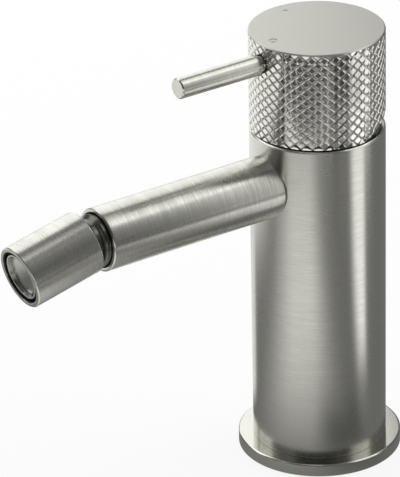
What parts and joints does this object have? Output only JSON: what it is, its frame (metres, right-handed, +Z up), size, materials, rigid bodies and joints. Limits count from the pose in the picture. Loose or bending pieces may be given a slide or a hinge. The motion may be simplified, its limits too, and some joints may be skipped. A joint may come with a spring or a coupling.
{
  "type": "bidet mixer",
  "caption": "Round single-hole bidet mixer with a level spout, a ball-jointed swivel nozzle and a knurled handle that turns for warmth and lifts for flow.",
  "frame": {"origin": "body axis at the underside of the base flange, on the ceramic it stands on", "axes": "+Z up along the body, -Y along the spout towards the user, +X to the user's right as seen from behind the mixer"},
  "size_m": [0.055, 0.1468, 0.152],
  "materials": {
    "brushed_nickel": "brushed nickel plate over brass, brushed round the axis",
    "satin_nickel": "fine satin nickel plate over brass",
    "polished_chrome": "polished",
    "bare_brass": "machined",
    "valve_ceramic": "lapped ceramic",
    "white_acetal": "moulded",
    "grey_plastic": "moulded",
    "black_plastic": "moulded",
    "black_rubber": "moulded"
  },
  "bodies": {
    "mixer_body": {"body": "brushed_nickel", "base_flange": "brushed_nickel", "base_seal": "black_rubber", "spout_tube": "brushed_nickel", "spout_seal": "black_rubber", "ball_stem": "polished_chrome", "stem_seal": "black_rubber", "cartridge_gasket": "black_rubber", "cartridge_base": "white_acetal", "fixed_disc": "valve_ceramic", "cartridge_housing": "white_acetal", "retaining_nut": "bare_brass"},
    "turret": {"turret": "white_acetal", "turret_seal": "black_rubber", "pivot_pin": "polished_chrome"},
    "disc_slide": {"moving_disc": "valve_ceramic", "disc_carrier": "white_acetal"},
    "handle": {"cartridge_stem": "bare_brass", "handle_insert": "bare_brass", "handle_cap": "satin_nickel", "knurled_sleeve": "brushed_nickel", "lever_pin": "brushed_nickel", "grub_screw": "polished_chrome", "grub_plug": "grey_plastic"},
    "swivel": {"ball_seal": "black_rubber"},
    "nozzle": {"nozzle_shell": "brushed_nickel", "ball_seat": "white_acetal", "aerator_seal": "black_rubber", "aerator_housing": "polished_chrome", "aerator_ring": "black_plastic", "aerator_screen": "satin_nickel"}
  },
  "joints": [
    {"name": "handle_turn", "type": "hinge", "parent": "mixer_body", "child": "turret", "pos_m": [0, 0, 0.1267], "axis": [0, 0, -1], "range_deg": [0, 90]},
    {"name": "handle_lift", "type": "hinge", "parent": "turret", "child": "handle", "pos_m": [0, 0, 0.1267], "axis": [-1, 0, 0], "range_deg": [0, 20]},
    {"name": "disc_slide", "type": "slide", "parent": "turret", "child": "disc_slide", "axis": [0, -1, 0], "range_m": [0, 0.0042]},
    {"name": "nozzle_swivel", "type": "hinge", "parent": "mixer_body", "child": "swivel", "pos_m": [0, -0.096, 0.1008], "axis": [0, -1, 0], "continuous": true},
    {"name": "nozzle_tilt", "type": "hinge", "parent": "swivel", "child": "nozzle", "pos_m": [0, -0.096, 0.1008], "axis": [-1, 0, 0], "range_deg": [0, 25]}
  ],
  "couplings": [
    {"joint": "disc_slide", "follows": "handle_lift", "m_per_rad": 0.01195}
  ]
}
